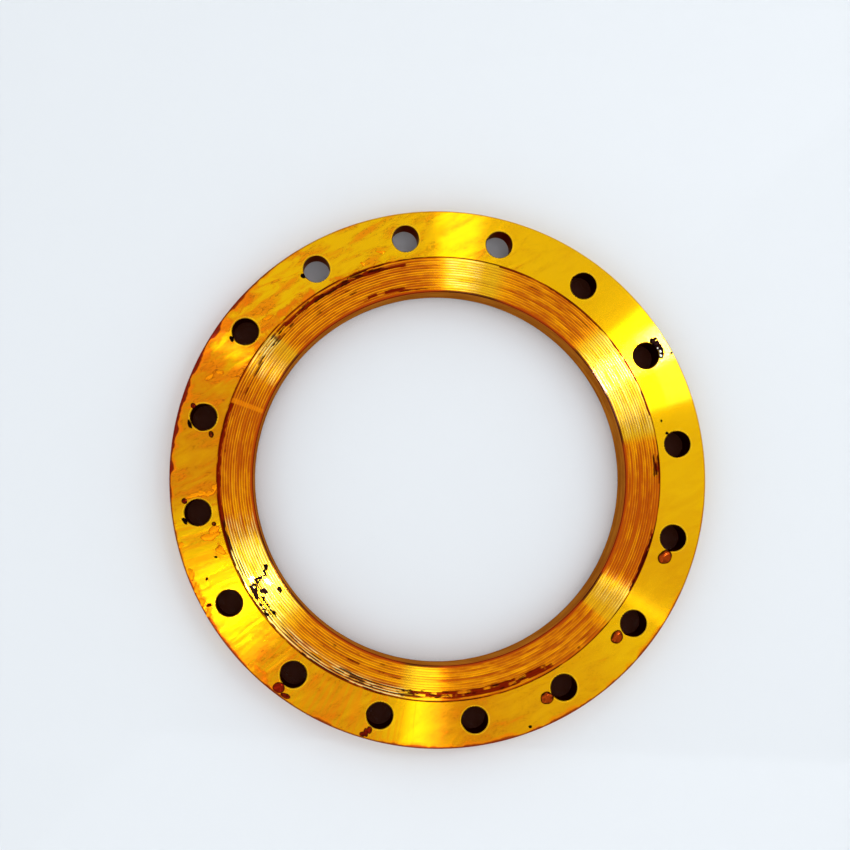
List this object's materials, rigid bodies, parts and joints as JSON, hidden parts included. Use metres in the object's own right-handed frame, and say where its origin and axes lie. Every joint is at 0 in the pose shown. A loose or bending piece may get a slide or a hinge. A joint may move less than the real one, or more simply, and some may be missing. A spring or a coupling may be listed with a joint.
{
  "type": "pipe flange",
  "caption": "Round plate flange for a steel pipe, with a raised sealing face cut with concentric grooves, a wide bore and a circle of bolt holes, in amber lacquer.",
  "frame": {"origin": "centre of the bore on the flat back face, which the flange lies on", "axes": "+Z along the bore, from the back face to the raised sealing face; +X and +Y each pass midway between two bolt holes"},
  "size_m": [0.5199, 0.52, 0.035],
  "materials": {
    "lacquered_steel": "turned carbon steel under a glossy, see-through amber anti-rust lacquer"
  },
  "bodies": {
    "root": {"flange": "lacquered_steel"}
  },
  "joints": []
}
